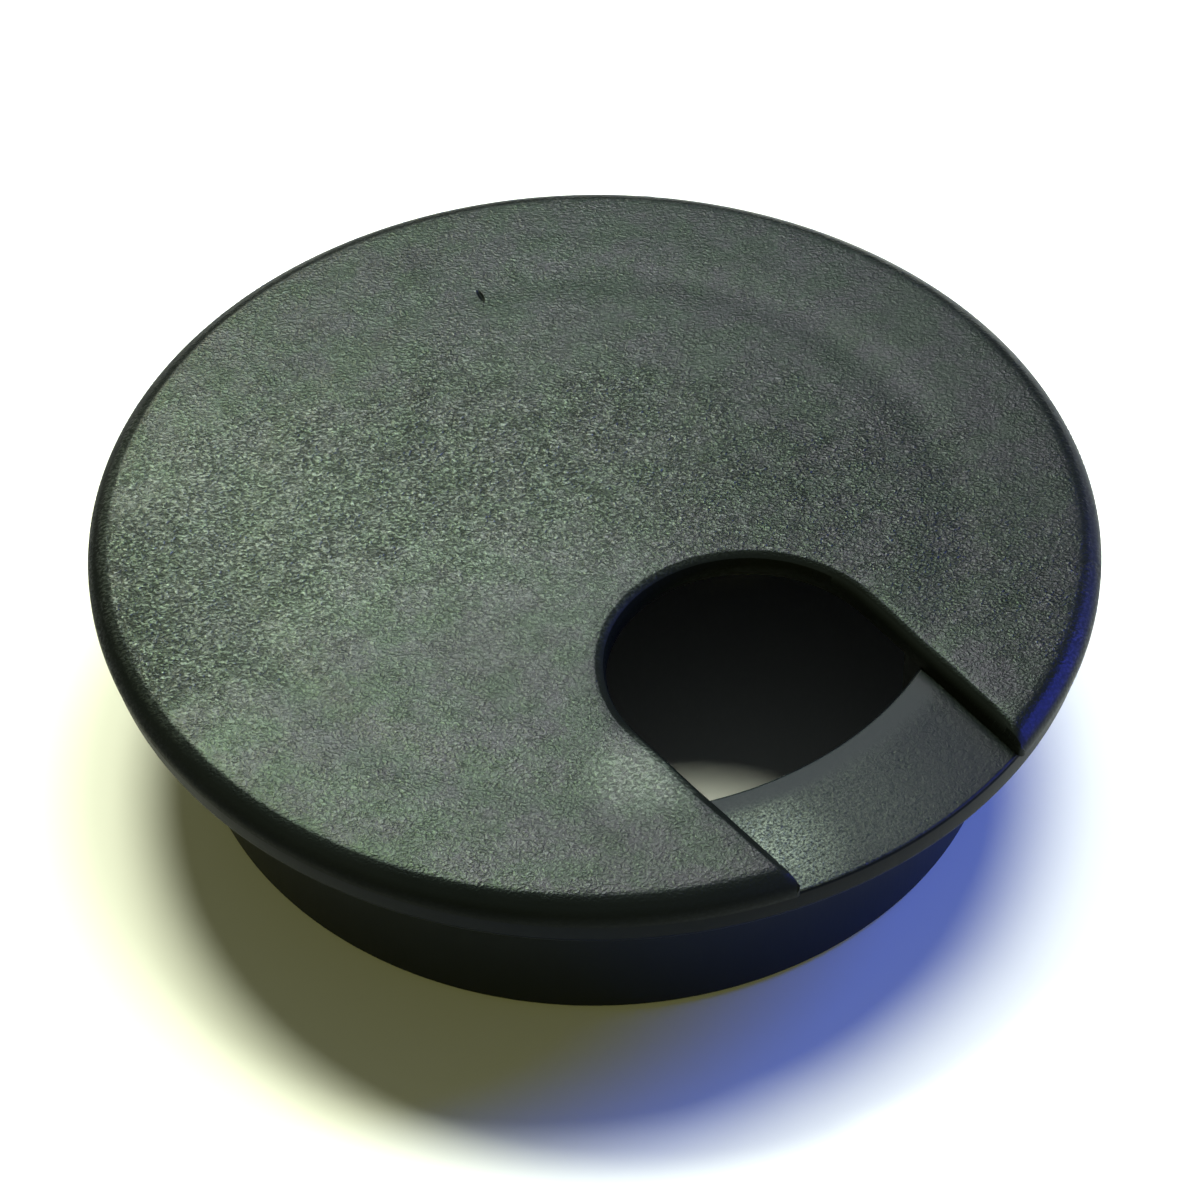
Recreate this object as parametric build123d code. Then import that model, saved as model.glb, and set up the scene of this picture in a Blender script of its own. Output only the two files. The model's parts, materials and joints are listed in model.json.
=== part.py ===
from build123d import *
import math
import os

# Desk grommet: a flanged liner that drops into a round hole in a worktop, and a full-width
# cap with a cable slot that snaps into the liner's bore and turns in it.
#
# Frame: millimetres, +Z up. The origin is the centre of the liner's lower rim, on the hole's
# axis. The liner's sleeve hangs down from the flange, and the slot opens towards -Y.

# ---------------------------------------------------------------- driving dimensions

# Liner
SLEEVE_RADIUS = 31.1        # passes a 63.5 mm (2 1/2 in) hole with 0.65 mm all round
SLEEVE_WALL = 1.9
SLEEVE_LEAD_IN = 0.6        # chamfer on the lower rim, outside
SLEEVE_INNER_BREAK = 0.4    # chamfer on the lower rim, inside
FLANGE_RADIUS = 37.7
FLANGE_UNDERSIDE = 15.8     # height of the face that rests on the worktop
FLANGE_TOP = 18.0
FLANGE_TOP_ROUND = 0.3
FLANGE_BOTTOM_ROUND = 0.6
LIP_RADIUS = 27.3           # the bore that the cap turns in
LIP_ROUND = 0.6             # top edge of the bore
LIP_UNDERSIDE = 14.9        # the ledge that the snap hooks catch
LEDGE_CHAMFER = 0.3

# Cap plate
CAP_RADIUS = 38.1           # 76.2 mm (3 in) across
CAP_UNDERSIDE = 18.05       # clears the flange by a hair, so that the cap turns freely
CAP_TOP = 19.9
RIM_ROUND_OUT = 2.1         # the rim falls away over this width...
RIM_ROUND_DOWN = 1.45       # ...and by this depth

# Cable slot, a U that opens at the rim and narrows slightly towards it
SLOT_RADIUS = 10.6
SLOT_CENTRE = 18.5          # distance of the round end's centre from the axis
SLOT_TAPER = 1.1            # degrees that each side leans inwards
SLOT_EDGE_ROUND = 0.9
SLOT_OVERRUN = 6.0          # the cutting shape runs this far past the rim

# Skirt ring under the cap, with snap fingers
SKIRT_CLEARANCE = 0.08      # running fit in the lip
SKIRT_WALL = 1.6
SKIRT_BOTTOM = 12.2
SKIRT_SETBACK = 0.6         # the skirt stops this far short of the slot's sides
FINGER_ANGLES = (-20.0, 35.0, 90.0, 145.0, 200.0)   # degrees from +X
FINGER_WIDTH = 8.0
SLIT_WIDTH = 1.2
SLIT_TOP = 16.6
HOOK_REACH = 0.75           # how far a hook stands out past the skirt
HOOK_GAP = 0.1              # between the hook's shoulder and the ledge
HOOK_LAND = 0.5
HOOK_RAMP = 1.4

# ---------------------------------------------------------------- derived values

SLEEVE_INNER_RADIUS = SLEEVE_RADIUS - SLEEVE_WALL
SKIRT_RADIUS = LIP_RADIUS - SKIRT_CLEARANCE
SKIRT_INNER_RADIUS = SKIRT_RADIUS - SKIRT_WALL
HOOK_TOP = LIP_UNDERSIDE - HOOK_GAP
HOOK_RADIUS = SKIRT_RADIUS + HOOK_REACH
PLATE_EMBED = 0.5           # the skirt is drawn this far into the plate before they join


def turned(outline):
    """A solid of revolution about Z from a closed wire drawn in the XZ plane."""
    return revolve(make_face(outline), Axis.Z)


def ring(outer, inner, low, high):
    """A plain ring between two heights."""
    height = high - low
    hole = Cylinder(inner, height, align=(Align.CENTER, Align.CENTER, Align.MIN))
    body = Cylinder(outer, height, align=(Align.CENTER, Align.CENTER, Align.MIN))
    return Pos(0, 0, low) * (body - hole)


def quarter(cx, cz, out, down, start):
    """A quarter of a circle or an ellipse in the XZ plane, from a start angle in degrees."""
    return Plane.XZ * EllipticalCenterArc((cx, cz), out, down, start, arc_size=90)


def line(*points):
    """A chain of straight lines through (radius, height) points in the XZ plane."""
    return Polyline(*[(radius, 0, height) for radius, height in points])


# ---------------------------------------------------------------- liner

def make_liner():
    """Sleeve, flange and inner lip, moulded in one piece and round about Z."""
    flange_side_low = FLANGE_UNDERSIDE + FLANGE_BOTTOM_ROUND
    outline = [
        line(
            (LIP_RADIUS, FLANGE_TOP - LIP_ROUND),
            (LIP_RADIUS, LIP_UNDERSIDE + LEDGE_CHAMFER),
            (LIP_RADIUS + LEDGE_CHAMFER, LIP_UNDERSIDE),
            (SLEEVE_INNER_RADIUS, LIP_UNDERSIDE),
            (SLEEVE_INNER_RADIUS, SLEEVE_INNER_BREAK),
            (SLEEVE_INNER_RADIUS + SLEEVE_INNER_BREAK, 0),
            (SLEEVE_RADIUS - SLEEVE_LEAD_IN, 0),
            (SLEEVE_RADIUS, SLEEVE_LEAD_IN),
            (SLEEVE_RADIUS, FLANGE_UNDERSIDE),
            (FLANGE_RADIUS - FLANGE_BOTTOM_ROUND, FLANGE_UNDERSIDE),
        ),
        quarter(FLANGE_RADIUS - FLANGE_BOTTOM_ROUND, flange_side_low,
                FLANGE_BOTTOM_ROUND, FLANGE_BOTTOM_ROUND, 270),
        line(
            (FLANGE_RADIUS, flange_side_low),
            (FLANGE_RADIUS, FLANGE_TOP - FLANGE_TOP_ROUND),
        ),
        quarter(FLANGE_RADIUS - FLANGE_TOP_ROUND, FLANGE_TOP - FLANGE_TOP_ROUND,
                FLANGE_TOP_ROUND, FLANGE_TOP_ROUND, 0),
        line(
            (FLANGE_RADIUS - FLANGE_TOP_ROUND, FLANGE_TOP),
            (LIP_RADIUS + LIP_ROUND, FLANGE_TOP),
        ),
        quarter(LIP_RADIUS + LIP_ROUND, FLANGE_TOP - LIP_ROUND, LIP_ROUND, LIP_ROUND, 90),
    ]
    return turned(outline)


# ---------------------------------------------------------------- cap

def slot_prism(low, high, margin=0.0):
    """The cable slot's U as a solid between two heights, grown all round by a margin."""
    radius = SLOT_RADIUS + margin
    lean = math.radians(SLOT_TAPER)
    tangent_x = radius * math.cos(lean)
    tangent_y = -SLOT_CENTRE - radius * math.sin(lean)
    mouth_y = -CAP_RADIUS - SLOT_OVERRUN
    mouth_x = tangent_x - (tangent_y - mouth_y) * math.tan(lean)
    round_end = ThreePointArc(
        (tangent_x, tangent_y), (0, radius - SLOT_CENTRE), (-tangent_x, tangent_y))
    mouth = Polyline(
        (-tangent_x, tangent_y), (-mouth_x, mouth_y), (mouth_x, mouth_y), (tangent_x, tangent_y))
    return Pos(0, 0, low) * extrude(make_face([round_end, mouth]), high - low)


def make_plate():
    """The cap's disc, with its rounded rim, the slot and the slot's rounded top edge."""
    rim_start = CAP_RADIUS - RIM_ROUND_OUT
    rim_foot = CAP_TOP - RIM_ROUND_DOWN
    outline = [
        line(
            (rim_start, CAP_TOP), (0, CAP_TOP), (0, CAP_UNDERSIDE),
            (CAP_RADIUS, CAP_UNDERSIDE), (CAP_RADIUS, rim_foot),
        ),
        quarter(rim_start, rim_foot, RIM_ROUND_OUT, RIM_ROUND_DOWN, 0),
    ]
    plate = turned(outline) - slot_prism(CAP_UNDERSIDE - 1, CAP_TOP + 1)
    slot_edges = [
        edge for edge in plate.edges().filter_by_position(Axis.Z, CAP_TOP - 1e-3, CAP_TOP + 1e-3)
        if edge.center().Y < 0 and abs(edge.center().X) < SLOT_RADIUS + 1
    ]
    return fillet(slot_edges, SLOT_EDGE_ROUND)


def make_hook_ring():
    """The snap hooks' full ring: a shoulder on top, a short land and a lead-in ramp."""
    inside = SKIRT_RADIUS - PLATE_EMBED
    return turned([line(
        (inside, HOOK_TOP),
        (HOOK_RADIUS, HOOK_TOP),
        (HOOK_RADIUS, HOOK_TOP - HOOK_LAND),
        (SKIRT_RADIUS, HOOK_TOP - HOOK_LAND - HOOK_RAMP),
        (inside, HOOK_TOP - HOOK_LAND - HOOK_RAMP),
        (inside, HOOK_TOP),
    )])


def finger_block(angle, width, low, high):
    """A block that spans the skirt's wall at one finger, for cutting or keeping."""
    reach = 8.0
    block = Box(reach, width, high - low, align=(Align.CENTER, Align.CENTER, Align.MIN))
    return Rot(0, 0, angle) * Pos(SKIRT_RADIUS, 0, low) * block


def make_skirt():
    """The ring under the cap, slit into snap fingers with a hook on each."""
    skirt = ring(SKIRT_RADIUS, SKIRT_INNER_RADIUS, SKIRT_BOTTOM, CAP_UNDERSIDE + PLATE_EMBED)
    hooks = make_hook_ring()
    for angle in FINGER_ANGLES:
        finger_and_slits = finger_block(
            angle, FINGER_WIDTH + 2 * SLIT_WIDTH, SKIRT_BOTTOM - 1, SLIT_TOP)
        finger = finger_block(angle, FINGER_WIDTH, SKIRT_BOTTOM - 1, SLIT_TOP)
        skirt = skirt - (finger_and_slits - finger)
        skirt = skirt + (hooks & finger)
    return skirt - slot_prism(SKIRT_BOTTOM - 2, CAP_TOP + 1, SKIRT_SETBACK)


def make_cap():
    """The cap: plate and skirt moulded in one piece."""
    return make_plate() + make_skirt()


# ---------------------------------------------------------------- files

PARTS = {
    "liner": make_liner,
    "cap": make_cap,
}

os.makedirs("parts", exist_ok=True)
for name, make in PARTS.items():
    solid = make().solid()
    solid.label = name
    export_step(solid, f"parts/{name}.step")
    print(name, "volume", round(solid.volume, 1), "mm3, valid", solid.is_valid)
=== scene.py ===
import json
import math

import bpy
from mathutils import Matrix, Vector, geometry, noise


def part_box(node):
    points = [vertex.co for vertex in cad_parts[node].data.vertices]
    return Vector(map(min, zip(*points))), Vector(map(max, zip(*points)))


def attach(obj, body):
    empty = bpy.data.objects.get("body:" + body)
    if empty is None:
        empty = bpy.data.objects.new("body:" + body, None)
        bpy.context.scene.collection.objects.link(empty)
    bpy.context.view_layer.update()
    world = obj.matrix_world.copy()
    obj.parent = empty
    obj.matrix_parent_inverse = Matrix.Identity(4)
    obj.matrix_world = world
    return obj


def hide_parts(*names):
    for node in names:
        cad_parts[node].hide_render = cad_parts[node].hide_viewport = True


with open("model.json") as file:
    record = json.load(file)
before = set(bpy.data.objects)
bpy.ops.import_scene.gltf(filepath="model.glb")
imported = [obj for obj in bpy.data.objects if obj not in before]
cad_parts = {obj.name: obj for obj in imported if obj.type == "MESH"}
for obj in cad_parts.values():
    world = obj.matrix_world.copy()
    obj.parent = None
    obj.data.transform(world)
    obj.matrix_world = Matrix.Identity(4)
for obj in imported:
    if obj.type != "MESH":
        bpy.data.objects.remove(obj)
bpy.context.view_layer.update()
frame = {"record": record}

# Desk grommet: a flanged liner and a slotted cap, in black moulded plastic. The meshes
# grommet_liner and grommet_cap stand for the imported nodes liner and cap. Lengths in the constants
# are millimetres, like the CAD's, and every vertex is scaled to metres once, when its mesh is made.

MM = 0.001
AXIS = (0.0, 0.0)
scene = bpy.context.scene


def span(node):
    """Half the node's width in X, and its lowest and highest Z, in millimetres."""
    low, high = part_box(node)
    return (high.x - low.x) / 2 / MM, low.z / MM, high.z / MM


# ---------------------------------------------------------------- sizes

FLANGE_R, LINER_BOTTOM, FLANGE_TOP = span("liner")
CAP_R, SKIRT_BOTTOM, CAP_TOP = span("cap")
MOUNTS = {mount["name"]: mount for mount in frame["record"]["mounts"]}
SLEEVE_R = MOUNTS["desk_hole"]["dims"]["r_mm"]
FLANGE_UNDER = MOUNTS["flange_seat"]["pos_m"][2] / MM

SLEEVE_WALL = 1.9
LEAD_IN = 0.6
INNER_BREAK = 0.4
FLANGE_TOP_ROUND = 0.3
FLANGE_BOTTOM_ROUND = 0.6
LIP_R = 27.3
LIP_ROUND = 0.35
LIP_DISH, LIP_DROP, DISH_STEPS = 2.5, 0.13, 6    # the lip's top dips towards the bore
LIP_UNDER = 14.9
LEDGE_CHAMFER = 0.3

CAP_UNDER = FLANGE_TOP + 0.05
RIM_OUT, RIM_DOWN = 2.1, 1.45       # the rim's rounding: across and down
SLOT_R = 10.6
SLOT_CENTRE = 18.5
SLOT_LEAN = math.radians(1.1)       # each side leans in towards the mouth
SLOT_EDGE = 0.9                     # rounding of the slot's top edge
MOUTH_ROUND = 0.35                  # the two corners where the slot meets the rim, in plan

SKIRT_R = LIP_R - 0.08
SKIRT_WALL = 1.6
SKIRT_SETBACK = 0.6                 # the skirt stops this far short of the slot's sides
FINGERS = (-20.0, 35.0, 90.0, 145.0, 200.0)
FINGER_WIDTH, SLIT_WIDTH, SLIT_TOP = 8.0, 1.2, 16.6
HOOK_TOP, HOOK_LAND, HOOK_RAMP, HOOK_REACH = LIP_UNDER - 0.1, 0.5, 1.4, 0.75

SINK_R, SINK_WIDTH, SINK_DEPTH = 27.3, 1.8, 0.105   # the sink mark over the skirt
WAVE_DEPTH, WAVE_SCALE = 0.02, 0.06                 # slight waves of the cap's top

SEGMENTS = 384                      # round the axis
EDGE_STEP = 0.55                    # along the cap's outline
GRID_STEP = 1.0                     # between rings on the flat of the cap
SINK_STEP = 0.4                     # between rings near the sink mark
GRID_GAP, CENTRE_GAP = 0.45, 0.4    # least distances between points on the flat
RIM_GAP = 0.05                      # the slot's rows stop this far short of the rim
ROUND_STEPS = 9                     # across each rounded edge
CORNER_STEPS = 6                    # round each mouth corner
WALL_STEP = 2.0                     # up the sleeve
FLAT_STEP = 1.0                     # across the flange's top
SKIRT_STEP = 1.6                    # degrees round the skirt
SAME_POINT = 1e-6                   # plan points closer than this are one point


# ---------------------------------------------------------------- mesh helpers

def new_piece(name, verts, faces, body, replaced, slot, material, sharp_angle=35.0):
    """A mesh object from millimetre vertices, riding on a body in place of a CAD node."""
    mesh = bpy.data.meshes.new(name)
    mesh.from_pydata([tuple(value * MM for value in vert) for vert in verts], [], faces)
    mesh.validate()
    mesh.shade_smooth()
    mesh.set_sharp_from_angle(angle=math.radians(sharp_angle))
    mesh.materials.append(material)
    piece = bpy.data.objects.new(name, mesh)
    scene.collection.objects.link(piece)
    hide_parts(replaced)
    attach(piece, body)
    return piece


def arc(cx, cz, rx, rz, start, steps=ROUND_STEPS):
    """Points of a quarter ellipse in a section, anticlockwise from start degrees."""
    points = []
    for step in range(steps + 1):
        angle = math.radians(start + 90.0 * step / steps)
        points.append((cx + rx * math.cos(angle), cz + rz * math.sin(angle)))
    return points


def straight(a, b, step):
    """Points from a to b, both included, about a step apart."""
    count = max(1, round(math.dist(a, b) / step))
    return [(a[0] + (b[0] - a[0]) * i / count, a[1] + (b[1] - a[1]) * i / count)
            for i in range(count + 1)]


# ---------------------------------------------------------------- liner

def liner_section():
    """The liner's closed section, as (radius, height) points, anticlockwise."""
    inner_r = SLEEVE_R - SLEEVE_WALL
    low_side = FLANGE_UNDER + FLANGE_BOTTOM_ROUND
    section = [
        (LIP_R, FLANGE_TOP - LIP_DROP - LIP_ROUND), (LIP_R, LIP_UNDER + LEDGE_CHAMFER),
        (LIP_R + LEDGE_CHAMFER, LIP_UNDER), (inner_r, LIP_UNDER),
        (inner_r, INNER_BREAK), (inner_r + INNER_BREAK, LINER_BOTTOM),
        (SLEEVE_R - LEAD_IN, LINER_BOTTOM), (SLEEVE_R, LEAD_IN),
    ]
    section += straight((SLEEVE_R, LEAD_IN), (SLEEVE_R, FLANGE_UNDER), WALL_STEP)[1:]
    section += arc(FLANGE_R - FLANGE_BOTTOM_ROUND, low_side,
                   FLANGE_BOTTOM_ROUND, FLANGE_BOTTOM_ROUND, 270)
    section += arc(FLANGE_R - FLANGE_TOP_ROUND, FLANGE_TOP - FLANGE_TOP_ROUND,
                   FLANGE_TOP_ROUND, FLANGE_TOP_ROUND, 0)
    section += straight((FLANGE_R - FLANGE_TOP_ROUND, FLANGE_TOP), (LIP_R + LIP_DISH, FLANGE_TOP),
                        FLAT_STEP)[1:]
    for step in range(1, DISH_STEPS):
        part = step / DISH_STEPS
        section.append((LIP_R + LIP_DISH + (LIP_ROUND - LIP_DISH) * part,
                        FLANGE_TOP - LIP_DROP * part ** 2))
    section += arc(LIP_R + LIP_ROUND, FLANGE_TOP - LIP_DROP - LIP_ROUND,
                   LIP_ROUND, LIP_ROUND, 90)[:-1]
    return section


def turned_mesh(section):
    """Vertices and faces of a closed section turned about Z."""
    verts, faces = [], []
    count = len(section)
    for step in range(SEGMENTS):
        angle = 2 * math.pi * step / SEGMENTS
        verts += [(r * math.cos(angle), r * math.sin(angle), z) for r, z in section]
    for step in range(SEGMENTS):
        here, there = step * count, (step + 1) % SEGMENTS * count
        for i in range(count):
            j = (i + 1) % count
            faces.append((here + i, there + i, there + j, here + j))
    return verts, faces


# ---------------------------------------------------------------- cap

class Slot:
    """The slot's outline in plan: its right side's tangent point, direction and inward normal."""
    normal = Vector((math.cos(SLOT_LEAN), -math.sin(SLOT_LEAN)))
    along = Vector((-math.sin(SLOT_LEAN), -math.cos(SLOT_LEAN)))
    centre = Vector((0.0, -SLOT_CENTRE))
    tangent = centre + SLOT_R * normal


def slot_distance(x, y):
    """How far a point of the cap lies from the slot's wall."""
    offset = Vector((abs(x), y)) - Slot.centre
    if offset.dot(Slot.along) <= 0:
        return offset.length - SLOT_R
    return offset.dot(Slot.normal) - SLOT_R


def mouth_corner():
    """The right mouth corner's rounding: its centre, and where it meets the side and the rim."""
    start = Slot.tangent + MOUTH_ROUND * Slot.normal
    reach = CAP_R - MOUTH_ROUND
    half = start.dot(Slot.along)
    travel = -half + math.sqrt(half * half - start.length_squared + reach * reach)
    centre = start + travel * Slot.along
    return centre, centre - MOUTH_ROUND * Slot.normal, centre * (CAP_R / reach)


def past_corner(x, y, gap):
    """Whether a point lies in one of the mouth's corners, beyond its rounding."""
    centre = mouth_corner()[0]
    offset = Vector((abs(x), y)) - centre
    in_corner = offset.dot(centre) > 0 and offset.dot(Slot.normal) < 0
    return in_corner and offset.length > MOUTH_ROUND - gap


def cap_outline():
    """The cap's outline in plan, anticlockwise from the right mouth corner's rim end."""
    centre, on_side, on_rim = mouth_corner()
    start = math.atan2(on_rim.y, on_rim.x)
    sweep = 2 * math.pi - 2 * (math.pi / 2 + start)
    count = round(CAP_R * sweep / EDGE_STEP)
    rim = []
    for i in range(count + 1):
        angle = start + sweep * i / count
        rim.append((CAP_R * math.cos(angle), CAP_R * math.sin(angle)))
    from_angle = math.atan2(on_rim.y - centre.y, on_rim.x - centre.x)
    to_angle = math.atan2(on_side.y - centre.y, on_side.x - centre.x)
    if to_angle > from_angle:
        to_angle -= 2 * math.pi
    corner = []
    for i in range(1, CORNER_STEPS):
        angle = from_angle + (to_angle - from_angle) * i / CORNER_STEPS
        corner.append((centre.x + MOUTH_ROUND * math.cos(angle),
                       centre.y + MOUTH_ROUND * math.sin(angle)))
    side = straight(tuple(on_side), tuple(Slot.tangent), EDGE_STEP)
    end_angle = math.pi / 2
    tangent_angle = -SLOT_LEAN
    count = round(SLOT_R * (end_angle - tangent_angle) / EDGE_STEP)
    round_end = []
    for i in range(1, count + 1):
        angle = tangent_angle + (end_angle - tangent_angle) * i / count
        round_end.append((SLOT_R * math.cos(angle), Slot.centre.y + SLOT_R * math.sin(angle)))
    right_half = corner + side + round_end
    left_half = [(-x, y) for x, y in right_half[:-1]]
    return rim + left_half + right_half[::-1]


def rounding(distance, across, down):
    """How far a rounded edge has dropped at a distance in from its wall."""
    if distance >= across:
        return 0.0
    part = 1.0 - max(distance, 0.0) / across
    return down * (1.0 - math.sqrt(max(0.0, 1.0 - part * part)))


def cap_height(x, y):
    """Height of the cap's top: flat, with rounded edges, the skirt's sink ring and slight waves."""
    radius = math.hypot(x, y)
    drop = math.hypot(rounding(CAP_R - radius, RIM_OUT, RIM_DOWN),
                      rounding(slot_distance(x, y), SLOT_EDGE, SLOT_EDGE))
    sink = SINK_DEPTH * math.exp(-((radius - SINK_R) / SINK_WIDTH) ** 2)
    wave = WAVE_DEPTH * (0.5 + 0.5 * noise.noise(Vector((x, y, 0.0)) * WAVE_SCALE))
    return CAP_TOP - drop - sink - wave


def round_rows(across):
    """Distances in from a wall that divide a rounded edge evenly round its curve."""
    return [across * (1 - math.cos(math.pi / 2 * i / ROUND_STEPS))
            for i in range(1, ROUND_STEPS + 1)]


def row_gap(row):
    """The least distance between points on a row this far in from a wall."""
    return min(0.3, row * 0.6 + 0.04)


class PointSet:
    """Plan points that keep a least distance from each other."""

    def __init__(self):
        self.points, self.cells = [], {}

    def add(self, x, y, gap):
        cell = (math.floor(x), math.floor(y))
        for i in (-1, 0, 1):
            for j in (-1, 0, 1):
                for px, py in self.cells.get((cell[0] + i, cell[1] + j), ()):
                    if math.hypot(px - x, py - y) < gap:
                        return
        self.points.append((x, y))
        self.cells.setdefault(cell, []).append((x, y))


def cap_top_points(outline):
    """The outline's points first, then rows along the rounded edges, then rings on the flat."""
    points = PointSet()
    for x, y in outline:
        points.add(x, y, 0.0)
    for row in round_rows(SLOT_EDGE):
        reach = SLOT_R + row
        gap = row_gap(row)
        count = round(SLOT_R * math.pi / EDGE_STEP)
        for i in range(count + 1):
            angle = -SLOT_LEAN + (math.pi + 2 * SLOT_LEAN) * i / count
            points.add(reach * math.cos(angle), Slot.centre.y + reach * math.sin(angle), gap)
        travel = EDGE_STEP
        while True:
            place = Slot.centre + reach * Slot.normal + travel * Slot.along
            if place.length > CAP_R - RIM_GAP or past_corner(place.x, place.y, gap / 2):
                break
            points.add(place.x, place.y, gap)
            points.add(-place.x, place.y, gap)
            travel += EDGE_STEP
    for row in round_rows(RIM_OUT):
        add_ring(points, CAP_R - row, EDGE_STEP, row_gap(row))
    radius = CAP_R - RIM_OUT - GRID_STEP
    while radius > 0:
        near_sink = abs(radius - SINK_R) < 3 * SINK_WIDTH
        add_ring(points, radius, GRID_STEP, GRID_GAP)
        radius -= SINK_STEP if near_sink else GRID_STEP
    points.add(*AXIS, CENTRE_GAP)
    return points.points


def add_ring(points, radius, step, gap):
    """A circle of points, where it lies on the cap."""
    count = max(6, round(2 * math.pi * radius / step))
    for i in range(count):
        angle = 2 * math.pi * (i + 0.5) / count
        x, y = radius * math.cos(angle), radius * math.sin(angle)
        if slot_distance(x, y) > gap / 2 and not past_corner(x, y, gap / 2):
            points.add(x, y, gap)


def fill(points, loops):
    """Triangles over plan points, with the loops' edges kept, by constrained Delaunay over the
    points' whole hull.
    """
    edges = [(loop[i], loop[(i + 1) % len(loop)]) for loop in loops for i in range(len(loop))]
    _, _, triangles, origins, _, _ = geometry.delaunay_2d_cdt(
        [Vector(point) for point in points], edges, [], 0, SAME_POINT, True)
    index = {new: old[0] for new, old in enumerate(origins) if old}
    return [[index[i] for i in triangle] for triangle in triangles]


def inside_plan(x, y):
    """Whether a point of the plan lies on the cap."""
    return math.hypot(x, y) < CAP_R and slot_distance(x, y) > 0


def skirt_angles():
    """Angles of the skirt's columns, each with its kind: wall, finger or slit, from end to end."""
    middle = SKIRT_R - SKIRT_WALL / 2
    end_x = SLOT_R + SKIRT_SETBACK
    half_gap = math.degrees(math.asin(end_x / middle))
    first, last = -90.0 + half_gap, 270.0 - half_gap
    half_finger = math.degrees(FINGER_WIDTH / 2 / middle)
    slit = math.degrees(SLIT_WIDTH / middle)
    cuts = [(first, "wall")]
    for angle in FINGERS:
        cuts += [(angle - half_finger - slit, "slit"), (angle - half_finger, "finger"),
                 (angle + half_finger, "slit"), (angle + half_finger + slit, "wall")]
    cuts.append((last, "end"))
    return cuts


def skirt_profile(kind):
    """A skirt column's open profile from the plate down the outside and back up the inside."""
    inner = SKIRT_R - SKIRT_WALL
    if kind == "slit":
        return [(SKIRT_R, CAP_UNDER), (SKIRT_R, SLIT_TOP), (inner, SLIT_TOP), (inner, CAP_UNDER)]
    reach = SKIRT_R + (HOOK_REACH if kind == "finger" else 0.0)
    land_bottom = HOOK_TOP - HOOK_LAND
    return [
        (SKIRT_R, CAP_UNDER), (SKIRT_R, SLIT_TOP), (SKIRT_R, HOOK_TOP), (reach, HOOK_TOP),
        (reach, land_bottom), (SKIRT_R, land_bottom - HOOK_RAMP), (SKIRT_R, SKIRT_BOTTOM),
        (inner, SKIRT_BOTTOM), (inner, SLIT_TOP), (inner, CAP_UNDER),
    ]


def make_cap_mesh():
    """The whole cap as one closed mesh: top, walls, underside and skirt."""
    outline = cap_outline()
    rim_count = len(outline)
    plan = cap_top_points(outline)
    verts = [(x, y, cap_height(x, y)) for x, y in plan]
    faces = []
    for triangle in fill(plan, [list(range(rim_count))]):
        x = sum(plan[i][0] for i in triangle) / 3
        y = sum(plan[i][1] for i in triangle) / 3
        if inside_plan(x, y):
            faces.append(tuple(triangle))

    rows = [list(range(rim_count))]
    for part in (0.5, 1.0):
        row = []
        for i in range(rim_count):
            x, y, z = verts[i]
            row.append(len(verts))
            verts.append((x, y, z + (CAP_UNDER - z) * part))
        rows.append(row)
    for upper, lower in zip(rows, rows[1:]):
        for i in range(rim_count):
            j = (i + 1) % rim_count
            faces.append((upper[i], lower[i], lower[j], upper[j]))

    cuts = skirt_angles()
    columns = []
    for (start, kind), (end, _) in zip(cuts, cuts[1:]):
        steps = max(1, round((end - start) / SKIRT_STEP))
        columns.append((kind, [start + (end - start) * i / steps for i in range(steps + 1)]))
    found = {}

    def skirt_vert(angle, point):
        key = (round(angle, 6), round(point[0], 6), round(point[1], 6))
        if key not in found:
            turn = math.radians(angle)
            found[key] = len(verts)
            verts.append((point[0] * math.cos(turn), point[0] * math.sin(turn), point[1]))
        return found[key]

    for kind, angles in columns:
        profile = skirt_profile(kind)
        for a, b in zip(angles, angles[1:]):
            for low, high in zip(profile, profile[1:]):
                if low == high:
                    continue
                faces.append((skirt_vert(a, low), skirt_vert(a, high),
                              skirt_vert(b, high), skirt_vert(b, low)))
    for index, (kind, angles) in enumerate(columns):
        if kind == "slit":
            continue
        profile = skirt_profile(kind)
        at_first, at_last = index == 0, index == len(columns) - 1
        for angle, open_end, flip in ((angles[0], at_first, True), (angles[-1], at_last, False)):
            ring = []
            for point in profile if open_end else profile[1:-1]:
                vert = skirt_vert(angle, point)
                if vert not in ring:
                    ring.append(vert)
            faces.append(tuple(ring[::-1] if flip else ring))

    inner = SKIRT_R - SKIRT_WALL
    all_angles = []
    for _, angles in columns:
        all_angles += [angle for angle in angles if angle not in all_angles]
    ring_loop = [skirt_vert(angle, (SKIRT_R, CAP_UNDER)) for angle in all_angles]
    ring_loop += [skirt_vert(angle, (inner, CAP_UNDER)) for angle in reversed(all_angles)]
    under_ids = rows[-1] + ring_loop
    under_plan = [(verts[i][0], verts[i][1]) for i in under_ids]
    loops = [list(range(rim_count)), list(range(rim_count, len(under_ids)))]
    low_angle, high_angle = all_angles[0], all_angles[-1]
    for triangle in fill(under_plan, loops):
        x = sum(under_plan[i][0] for i in triangle) / 3
        y = sum(under_plan[i][1] for i in triangle) / 3
        angle = (math.degrees(math.atan2(y, x)) + 90.0) % 360.0 - 90.0
        on_skirt = all(i >= rim_count for i in triangle) and inner < math.hypot(x, y) < SKIRT_R
        if on_skirt and low_angle < angle < high_angle:
            continue
        if inside_plan(x, y):
            faces.append(tuple(under_ids[i] for i in reversed(triangle)))
    return verts, faces


# ---------------------------------------------------------------- materials

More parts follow.
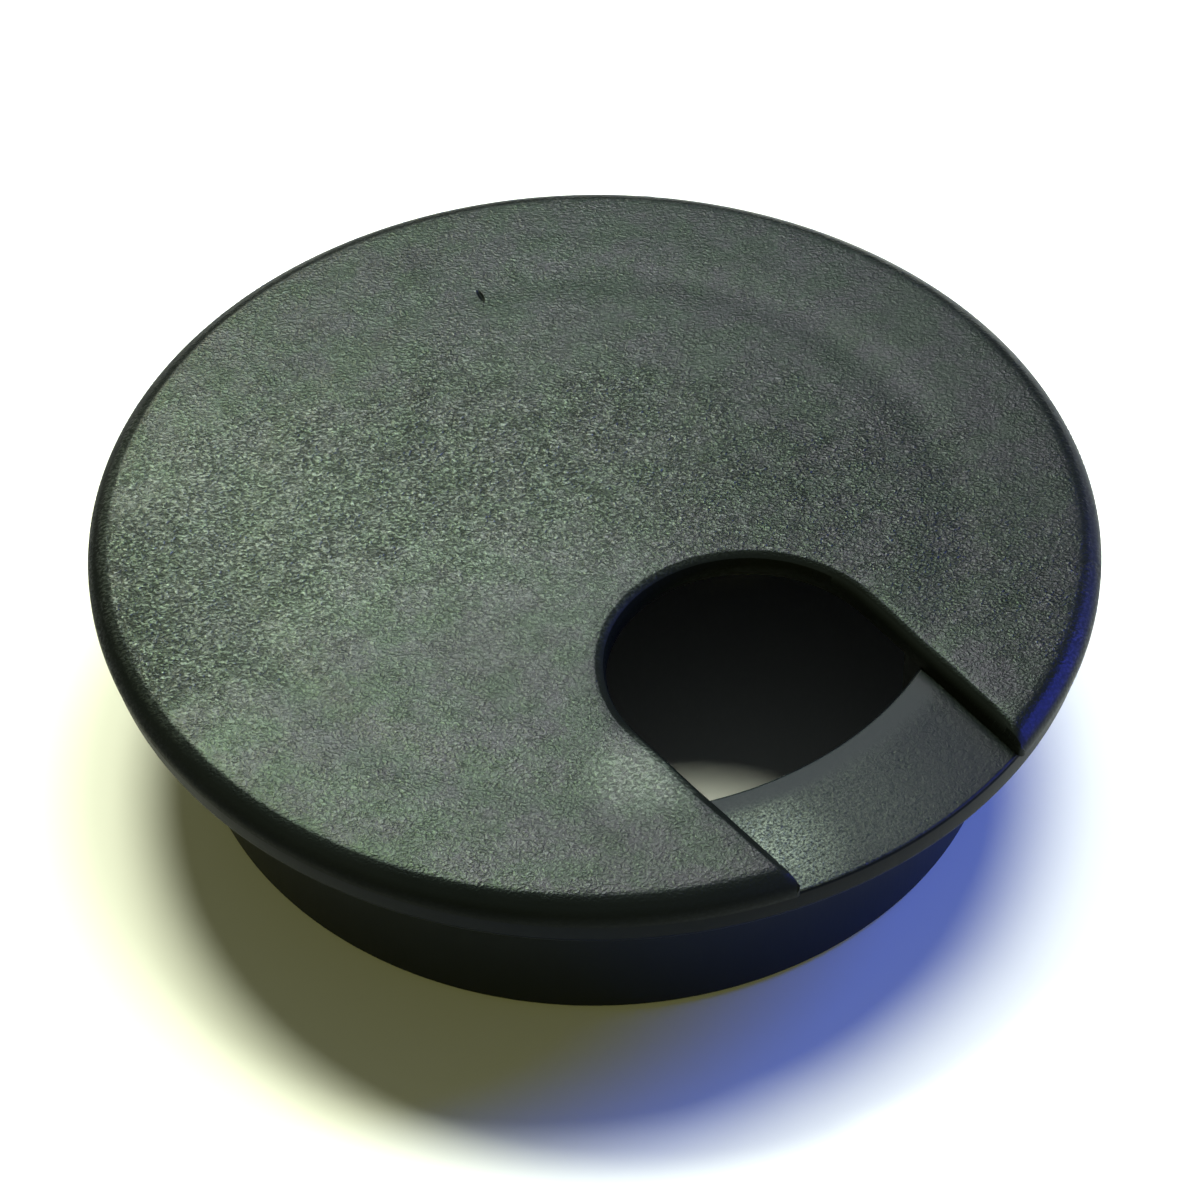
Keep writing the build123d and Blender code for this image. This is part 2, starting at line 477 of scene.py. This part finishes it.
class Graph:
    """Adds shader nodes to a new material. An input's value is a number, a colour or a socket."""

    def __init__(self, name):
        self.material = bpy.data.materials.new(name)
        self.material.use_nodes = True
        self.tree = self.material.node_tree
        self.shader = self.tree.nodes["Principled BSDF"]

    def set(self, node, inputs):
        for key, value in inputs.items():
            socket = node.inputs[key]
            if isinstance(value, bpy.types.NodeSocket):
                self.tree.links.new(value, socket)
            else:
                socket.default_value = value

    def add(self, kind, inputs=None, **settings):
        node = self.tree.nodes.new(kind)
        for key, value in settings.items():
            setattr(node, key, value)
        self.set(node, inputs or {})
        return node

    def math(self, operation, *values, clamp=False):
        inputs = dict(enumerate(values))
        return self.add("ShaderNodeMath", inputs, operation=operation, use_clamp=clamp).outputs[0]

    def ramp(self, value, low, high, to_low=0.0, to_high=1.0):
        """value from low to high, eased, as to_low to to_high."""
        inputs = {"Value": value, "From Min": low, "From Max": high,
                  "To Min": to_low, "To Max": to_high}
        return self.add("ShaderNodeMapRange", inputs, interpolation_type="SMOOTHSTEP").outputs[0]

    def noise(self, place, scale, detail=2.0, roughness=0.5, distortion=0.0):
        inputs = {"Vector": place, "Scale": scale, "Detail": detail,
                  "Roughness": roughness, "Distortion": distortion}
        return self.add("ShaderNodeTexNoise", inputs).outputs["Fac"]

    def cells(self, place, scale, feature="F1"):
        inputs = {"Vector": place, "Scale": scale}
        return self.add("ShaderNodeTexVoronoi", inputs, feature=feature).outputs["Distance"]

    def mix(self, factor, first, second):
        """A colour between two, by factor."""
        node = self.add("ShaderNodeMix", data_type="RGBA")
        for index, value in ((0, factor), (6, first), (7, second)):
            if isinstance(value, bpy.types.NodeSocket):
                self.tree.links.new(value, node.inputs[index])
            else:
                node.inputs[index].default_value = value
        return node.outputs[2]

    def place(self):
        """The point's place in millimetres, and its X, Y and Z."""
        coordinates = self.add("ShaderNodeTexCoord").outputs["Object"]
        inputs = {0: coordinates, 3: 1 / MM}
        scaled = self.add("ShaderNodeVectorMath", inputs, operation="SCALE").outputs[0]
        parts = self.add("ShaderNodeSeparateXYZ", {0: scaled}).outputs
        return scaled, parts[0], parts[1], parts[2]

    def facing_up(self, low, high):
        """1 where the surface faces up, 0 where it faces sideways or down."""
        normal = self.add("ShaderNodeTexCoord").outputs["Normal"]
        return self.ramp(self.add("ShaderNodeSeparateXYZ", {0: normal}).outputs[2], low, high)

    def invert(self, value):
        """1 less the value."""
        return self.math("SUBTRACT", 1.0, value)

    def bump(self, height, depth, below=None):
        """A bump of a height from 0 to 1, over a depth in millimetres, on top of another."""
        inputs = {"Height": height, "Strength": 1.0, "Distance": depth * MM}
        if below is not None:
            inputs["Normal"] = below
        return self.add("ShaderNodeBump", inputs).outputs[0]


# In the looks, a ramp is (from, to, value there, value here), places are plan millimetres, and a
# texture's scale is per millimetre. Spots are (centre, radius, amount).
IOR = 1.5

GRAIN_CENTRE = (-26.4, -34.0)               # the grain's band curves about this point
GRAIN_RISE = (33.0, 47.0, 0.36, 1.0)        # its depth by the distance from there
GRAIN_FALL = (51.0, 66.0, 1.0, 0.45)
GRAIN_STRAY = 16.0                          # how far the patches push the band to and fro
GRAIN_SIDES = (-34.0, 34.0, 1.3, 0.75)      # deeper at one side of the cap than at the other
GRAIN_MOTTLE = (0.3, 0.7, 0.75, 1.2)
GRAIN_LENGTH = (0.79, -0.613)               # the wrinkles run this way
GRAIN_SQUASH = 0.38
GRAIN_DEPTH, TOOTH_DEPTH, NICK_DEPTH = 0.135, 0.030, -1.5
WARP_SCALE, WARP_REACH = 2.6, 0.35
CREASE_SCALE, CREASE_WIDTH, CREASE_SHARE = 3.4, 0.3, 0.18
PATCH_SCALE, MOTTLE_SCALE, TINT_SCALE, PEBBLE_SCALE, TOOTH_SCALE = 0.13, 0.45, 0.32, 4.6, 4.5
CAVITY, CAVITY_SHARE = (0.42, 0.84, 0.35, 2.15), 0.8    # hollows shine less than the ridges
CAP_SHINE, SLOT_EDGE_SHINE = 0.3, 0.06
RIM_SHINE = (-10.0, 34.0, 0.06, 0.32)
CAP_ROUGH, GRAIN_SMOOTH, EDGE_ROUGH = (0.3, 0.7, 0.34, 0.40), -0.07, 0.08
SHEEN_GREEN, SHEEN_GREY = (0.79, 1.0, 0.80, 1), (0.93, 0.95, 0.98, 1)
SIDE_TINT = (0.72, 0.84, 1.0, 1)
CAP_DARK, CAP_PALE = (0.0035, 0.0045, 0.004, 1), (0.0055, 0.0065, 0.006, 1)
# Painted highlight: a pale base colour on the top's grain ridges, in the spots below, standing in
# for bright patches of shine.
PAINTED_SHEEN_COLOUR, PAINTED_SHEEN_GRAIN = (0.055, 0.066, 0.055, 1), (0.45, 0.85, 0.2, 1.25)
PAINTED_SHEEN_SPOTS = (((-20.5, 16.5), 18.0, 1.35), ((-13.0, -22.0), 5.5, 1.7), ((-4.0, 6.0), 24.0, 0.7),
               ((-29.5, 6.0), 12.0, 0.6))               # painted highlights: pale places standing in for bright patches of shine
SMUDGES = (((6.4, 30.8), 4.5, 0.3), ((8.0, 27.0), 1.5, 0.35))    # duller places
NICK, NICK_LONG, NICK_WIDE, NICK_DULL = ((8.2, 24.6), (8.6, 25.9)), 0.9, 0.24, 0.9

SMOOTH_LIP = (LIP_R + 1.2, LIP_R + 2.9, 0.08, 1.0)      # the flange is smooth by the bore
COARSE_SCALE, FINE_SCALE, PIT_SCALE, PIT_AREA_SCALE = 2.2, 6.0, 1.6, 0.5
CRUMB_SCALE, CRUMB_PIT_SCALE, STREAK_SCALE = 5.0, 2.2, 1.6
PIT_SHARE, FINE_SHARE, PLAIN_RELIEF = 0.45, 0.3, 0.8
FLANGE_DEPTH, STREAK_DEPTH = 0.07, 0.01
# The flange's worn patch: its pits run deeper, and its pale colour is a painted highlight standing
# in for the patch's bright shine.
WORN_AND_SHEEN_SPOTS = (((-11.0, -31.8), 8.5, 1.1), ((-4.0, -32.5), 12.0, 0.14))
WORN_PAINTED_SHEEN_COLOUR = (0.20, 0.235, 0.20, 1)
LINER_DARK, LINER_PALE = (0.0016, 0.0026, 0.005, 1), (0.003, 0.004, 0.0065, 1)
LINER_TINT = (0.92, 1.0, 0.93, 1.0)
TOP_SHINE, FLANGE_SHINE, SLEEVE_SHINE = 0.125, 0.035, 0.25
SIDE_ROUGH, TOP_ROUGH, FINE_ROUGH = 0.32, 0.36, 0.08


def away_from(g, x, y, point):
    """Distance in plan from a point."""
    dx, dy = g.math("SUBTRACT", x, point[0]), g.math("SUBTRACT", y, point[1])
    return g.math("SQRT", g.math("ADD", g.math("MULTIPLY", dx, dx), g.math("MULTIPLY", dy, dy)))


def squashed(g, place, x, y):
    """The place, shortened along the wrinkles, so that noise in it is longer that way."""
    ux, uy = GRAIN_LENGTH
    along = g.math("MULTIPLY_ADD", x, ux, g.math("MULTIPLY", y, uy))
    along = g.math("MULTIPLY", along, -GRAIN_SQUASH)
    shift = g.add("ShaderNodeCombineXYZ", {0: g.math("MULTIPLY", along, ux),
                                           1: g.math("MULTIPLY", along, uy)}).outputs[0]
    return g.add("ShaderNodeVectorMath", {0: place, 1: shift}, operation="ADD").outputs[0]


def scratch(g, x, y, ends, long, wide):
    """1 in the middle of a short scratch between two points of the plan, 0 outside it."""
    start, end = Vector(ends[0]), Vector(ends[1])
    middle, along = (start + end) / 2, (end - start).normalized()
    dx, dy = g.math("SUBTRACT", x, middle.x), g.math("SUBTRACT", y, middle.y)
    u = g.math("MULTIPLY_ADD", dx, along.x / long, g.math("MULTIPLY", dy, along.y / long))
    v = g.math("MULTIPLY_ADD", dx, -along.y / wide, g.math("MULTIPLY", dy, along.x / wide))
    return g.ramp(away_from(g, u, v, (0.0, 0.0)), 0.3, 1.0, 1.0, 0.0)


def spots(g, x, y, table):
    """Soft round patches of the plan, added up."""
    total = 0.0
    for centre, radius, amount in table:
        here = g.ramp(away_from(g, x, y, centre), 0.0, radius, amount, 0.0)
        total = g.math("ADD", total, here)
    return total


def grain_strength(g, place, x, y, patches):
    """How deep the grain is over the plan, and how far a point lies along the wrinkles."""
    reach = g.math("SUBTRACT", away_from(g, x, y, GRAIN_CENTRE), GRAIN_STRAY / 2)
    reach = g.math("MULTIPLY_ADD", patches, GRAIN_STRAY, reach)
    band = g.math("MULTIPLY", g.ramp(reach, *GRAIN_RISE), g.ramp(reach, *GRAIN_FALL))
    mottle = g.ramp(g.noise(place, MOTTLE_SCALE, 2.0, 0.5), *GRAIN_MOTTLE)
    ux, uy = GRAIN_LENGTH
    across = g.math("MULTIPLY_ADD", x, ux, g.math("MULTIPLY", y, uy))
    band = g.math("MULTIPLY", g.math("MULTIPLY", band, mottle), g.ramp(across, *GRAIN_SIDES))
    return band, across


def cap_look():
    """Black plastic with a fine leather-like grain on top, smooth on its walls and underside, with
    painted highlights in pale patches on the top.
    """
    g = Graph("cap_plastic_look")
    place, x, y, _ = g.place()
    top = g.facing_up(0.8, 0.99)
    level = g.facing_up(0.965, 0.999)
    patches = g.noise(place, PATCH_SCALE, 3.0, 0.55)
    band, across = grain_strength(g, place, x, y, patches)

    warp = g.add("ShaderNodeTexNoise", {"Vector": place, "Scale": WARP_SCALE, "Detail": 2.0})
    bent = g.add("ShaderNodeVectorMath", {0: warp.outputs["Color"], 1: (WARP_REACH,) * 3,
                                          2: squashed(g, place, x, y)},
                 operation="MULTIPLY_ADD").outputs[0]
    creases = g.ramp(g.cells(bent, CREASE_SCALE, "DISTANCE_TO_EDGE"), 0.0, CREASE_WIDTH)
    pebbles = g.noise(bent, PEBBLE_SCALE, 1.2, 0.5, 0.2)
    tooth = g.noise(place, TOOTH_SCALE, 1.0, 0.5)
    grain = g.math("MULTIPLY_ADD", creases, CREASE_SHARE, pebbles)
    nick = g.math("MULTIPLY", scratch(g, x, y, NICK, NICK_LONG, NICK_WIDE), top)
    relief = g.math("MULTIPLY", grain, g.math("MULTIPLY", band, top))
    relief = g.math("MULTIPLY_ADD", nick, NICK_DEPTH, relief)
    normal = g.bump(relief, GRAIN_DEPTH, g.bump(g.math("MULTIPLY", tooth, top), TOOTH_DEPTH))

    cavity = g.math("SUBTRACT", g.ramp(grain, *CAVITY), 1.0)
    cavity_share = g.math("MULTIPLY", band, CAVITY_SHARE, clamp=True)
    cavity = g.math("MULTIPLY_ADD", cavity, cavity_share, 1.0)
    edge = g.ramp(away_from(g, x, y, AXIS), CAP_R - 4.0, CAP_R - 2.0, SLOT_EDGE_SHINE,
                  g.ramp(across, *RIM_SHINE))
    shine = g.math("MULTIPLY", cavity, g.ramp(level, 0.0, 1.0, edge, 1.0))
    dull = g.math("ADD", spots(g, x, y, SMUDGES), g.math("MULTIPLY", nick, NICK_DULL))
    shine = g.math("MULTIPLY", shine, g.ramp(dull, 0.0, 1.0, CAP_SHINE, 0.0))
    tint = g.ramp(g.noise(place, TINT_SCALE, 3.0, 0.6), 0.35, 0.65)
    tint = g.mix(level, SIDE_TINT, g.mix(tint, SHEEN_GREEN, SHEEN_GREY))

    # Painted highlight: paler colour in spots on the top, brightest on the grain's ridges.
    painted_sheen = g.math("MULTIPLY", spots(g, x, y, PAINTED_SHEEN_SPOTS), top)
    painted_sheen = g.math("MULTIPLY", painted_sheen, g.ramp(grain, *PAINTED_SHEEN_GRAIN), clamp=True)
    colour = g.mix(painted_sheen, g.mix(patches, CAP_DARK, CAP_PALE), PAINTED_SHEEN_COLOUR)
    rough = g.math("MULTIPLY_ADD", g.math("MULTIPLY", grain, band), GRAIN_SMOOTH,
                   g.ramp(patches, *CAP_ROUGH))
    rough = g.math("MULTIPLY_ADD", g.invert(g.facing_up(0.7, 0.985)), EDGE_ROUGH, rough)
    g.set(g.shader, {"Base Color": colour, "Roughness": rough, "Normal": normal,
                     "Specular IOR Level": shine, "IOR": IOR, "Specular Tint": tint})
    return g.material


def liner_look():
    """Black plastic: pitted and speckled on the flange's top, with a painted highlight of pale
    speckles on a worn patch there, smooth and dull on the sleeve.
    """
    g = Graph("liner_plastic_look")
    place, x, y, z = g.place()
    radius = away_from(g, x, y, AXIS)
    top = g.facing_up(0.6, 0.97)
    rough_top = g.math("MULTIPLY", top, g.ramp(radius, *SMOOTH_LIP))
    coarse = g.noise(place, COARSE_SCALE, 4.0, 0.65, 0.5)
    fine = g.noise(place, FINE_SCALE, 3.0, 0.65)
    pits = g.ramp(g.cells(place, PIT_SCALE), 0.04, 0.26)
    unpitted = g.ramp(g.noise(place, PIT_AREA_SCALE, 2.0, 0.5), 0.45, 0.6, 1.0, 0.0)
    pits = g.math("MAXIMUM", pits, unpitted)
    # Worn patch: deeper pits here, and further down a pale colour that is a painted highlight.
    wear_and_sheen = spots(g, x, y, WORN_AND_SHEEN_SPOTS)
    wear_and_sheen = g.math("MULTIPLY", wear_and_sheen, g.ramp(coarse, 0.25, 0.6, 0.55, 1.1))
    wear_and_sheen = g.math("MULTIPLY", wear_and_sheen, rough_top, clamp=True)
    stretched = g.add("ShaderNodeVectorMath", {0: place, 1: (1.0, 1.0, 0.12)},
                      operation="MULTIPLY").outputs[0]
    streaks = g.noise(stretched, STREAK_SCALE, 3.0, 0.6)
    relief = g.math("MULTIPLY_ADD", pits, PIT_SHARE,
                    g.math("MULTIPLY_ADD", fine, FINE_SHARE, coarse))
    relief = g.math("MULTIPLY", relief,
                    g.math("MULTIPLY", rough_top, g.math("ADD", wear_and_sheen, PLAIN_RELIEF)))
    side = g.math("MULTIPLY", streaks, g.invert(top))
    normal = g.bump(relief, FLANGE_DEPTH, g.bump(side, STREAK_DEPTH))

    crumbs = g.ramp(g.noise(place, CRUMB_SCALE, 3.0, 0.7), 0.32, 0.75)
    crumb_pits = g.ramp(g.cells(place, CRUMB_PIT_SCALE), 0.08, 0.3, 0.15, 1.0)
    crumbs = g.math("MULTIPLY", crumbs, crumb_pits)
    # Painted highlight: pale speckled colour over the worn patch.
    colour = g.mix(g.math("MULTIPLY", wear_and_sheen, crumbs), g.mix(coarse, LINER_DARK, LINER_PALE),
                   WORN_PAINTED_SHEEN_COLOUR)
    flange = g.ramp(z, FLANGE_UNDER - 0.3, FLANGE_UNDER + 0.3)
    sleeve = g.math("MULTIPLY", g.ramp(radius, SLEEVE_R - 1.2, SLEEVE_R - 0.4), g.invert(flange))
    shine = g.math("MULTIPLY_ADD", top, TOP_SHINE,
                   g.ramp(sleeve, 0.0, 1.0, FLANGE_SHINE, SLEEVE_SHINE))
    rough = g.math("MULTIPLY_ADD", fine, FINE_ROUGH, g.ramp(top, 0.0, 1.0, SIDE_ROUGH, TOP_ROUGH))
    g.set(g.shader, {"Base Color": colour, "Roughness": rough, "Normal": normal,
                     "Specular IOR Level": shine, "IOR": IOR, "Specular Tint": LINER_TINT})
    return g.material


new_piece("grommet_liner", *turned_mesh(liner_section()), "liner", "liner", "liner_plastic",
          liner_look())
new_piece("grommet_cap", *make_cap_mesh(), "cap", "cap", "cap_plastic", cap_look())

# ---------------------------------------------------------------- stage

FLOOR_TONE = 0.8
FLOOR_HALF = 3.0                    # metres
WORLD_COLOUR = (0.07, 0.078, 0.075, 1.0)

# Floor lamps light the floor and the painted pale highlights, and sheen lamps only show in the
# plastic's shine.
# Each has its side and elevation in degrees, its distance and size in metres, how bright it alone
# makes the pale floor at the object (1 is white), and its colour.
FLOOR_LAMPS = (
    ("key_right", 150.0, 66.6, 0.9, 0.44, 1.00, (0.95, 1.0, 0.78)),
    ("key_left", -152.8, 64.2, 0.9, 0.27, 0.85, (0.95, 1.0, 0.72)),
    ("blue_right", 108.8, 38.8, 0.9, 0.40, 0.37, (0.01, 0.12, 1.0)),
    ("fill_low", 0.0, 14.0, 0.9, 0.4, 0.058, (1.0, 0.97, 0.2)),
)
SHEEN_LAMPS = (
    ("sheen_left", -156.0, 53.0, 0.24, 0.08, 0.22, (0.84, 0.98, 1.0)),
    ("sheen_high", -135.0, 62.0, 0.24, 0.08, 0.50, (0.78, 1.0, 0.55)),
    ("sheen_back", 175.0, 56.0, 0.30, 0.12, 0.235, (0.97, 0.88, 1.0)),
    ("sheen_side", -148.0, 36.0, 0.35, 0.12, 0.18, (1.0, 0.94, 0.65)),
    ("sheen_low", 180.0, 34.0, 0.50, 0.15, 0.022, (0.5, 1.0, 0.7)),
    ("blue_glint", 98.0, 24.0, 0.9, 0.70, 0.75, (0.08, 0.10, 1.0)),
)


def make_floor():
    mesh = bpy.data.meshes.new("floor")
    half = FLOOR_HALF
    mesh.from_pydata([(-half, -half, 0), (half, -half, 0), (half, half, 0), (-half, half, 0)],
                     [], [(0, 1, 2, 3)])
    material = bpy.data.materials.new("floor_white")
    material.use_nodes = True
    shader = material.node_tree.nodes["Principled BSDF"]
    shader.inputs["Base Color"].default_value = (FLOOR_TONE, FLOOR_TONE, FLOOR_TONE, 1.0)
    shader.inputs["Roughness"].default_value = 1.0
    shader.inputs["Specular IOR Level"].default_value = 0.0
    mesh.materials.append(material)
    floor = bpy.data.objects.new("floor", mesh)
    scene.collection.objects.link(floor)


VIEW_AZIMUTH = math.radians(-37.8)
VIEW_ELEVATION = math.radians(46.36)
VIEW_ROLL = -0.0072
VIEW_DISTANCE = 0.3411
VIEW_TARGET = Vector((0.0, 0.0, 0.0113))
LENS, SENSOR_WIDTH = 133.7, 36.0    # millimetres
CLIP = 0.01, 20.0
AIM_RIGHT = 0.00038                 # the camera points this far past its target, in metres
AIM_DOWN = 0.00009


def make_camera():
    data = bpy.data.cameras.new("camera")
    data.lens = LENS
    data.sensor_width = SENSOR_WIDTH
    data.clip_start, data.clip_end = CLIP
    back = Vector((math.sin(VIEW_AZIMUTH) * math.cos(VIEW_ELEVATION),
                   -math.cos(VIEW_AZIMUTH) * math.cos(VIEW_ELEVATION),
                   math.sin(VIEW_ELEVATION)))
    turn = (-back).to_track_quat("-Z", "Y").to_matrix()
    right, up = turn.col[0], turn.col[1]
    place = VIEW_TARGET + back * VIEW_DISTANCE
    aim = VIEW_TARGET + right * AIM_RIGHT - up * AIM_DOWN
    look = (aim - place).to_track_quat("-Z", "Y").to_matrix() @ Matrix.Rotation(VIEW_ROLL, 3, "Z")
    camera = bpy.data.objects.new("camera", data)
    camera.matrix_world = Matrix.Translation(place) @ look.to_4x4()
    scene.collection.objects.link(camera)
    scene.camera = camera


def area_light(name, side, elevation, distance, size, value, colour, sheen):
    """A disc aimed at the object, side degrees round from the camera, positive to the right."""
    e = math.radians(elevation)
    data = bpy.data.lights.new(name, "AREA")
    data.shape = "DISK"
    data.size = size
    data.energy = value * (math.pi * distance) ** 2 / (FLOOR_TONE * math.sin(e))
    data.color = colour
    light = bpy.data.objects.new(name, data)
    a = VIEW_AZIMUTH + math.radians(side)
    back = Vector((math.sin(a) * math.cos(e), -math.cos(a) * math.cos(e), math.sin(e)))
    light.matrix_world = (Matrix.Translation(back * distance)
                          @ (-back).to_track_quat("-Z", "Y").to_matrix().to_4x4())
    light.visible_camera = False
    light.visible_diffuse = not sheen
    light.visible_glossy = sheen
    scene.collection.objects.link(light)


make_floor()
make_camera()
world = bpy.data.worlds.new("studio")
world.use_nodes = True
world.node_tree.nodes["Background"].inputs["Color"].default_value = WORLD_COLOUR
world.node_tree.nodes["Background"].inputs["Strength"].default_value = 1.0
scene.world = world
scene.view_settings.view_transform = "Standard"
for lamp in FLOOR_LAMPS:
    area_light(*lamp, sheen=False)
for lamp in SHEEN_LAMPS:
    area_light(*lamp, sheen=True)
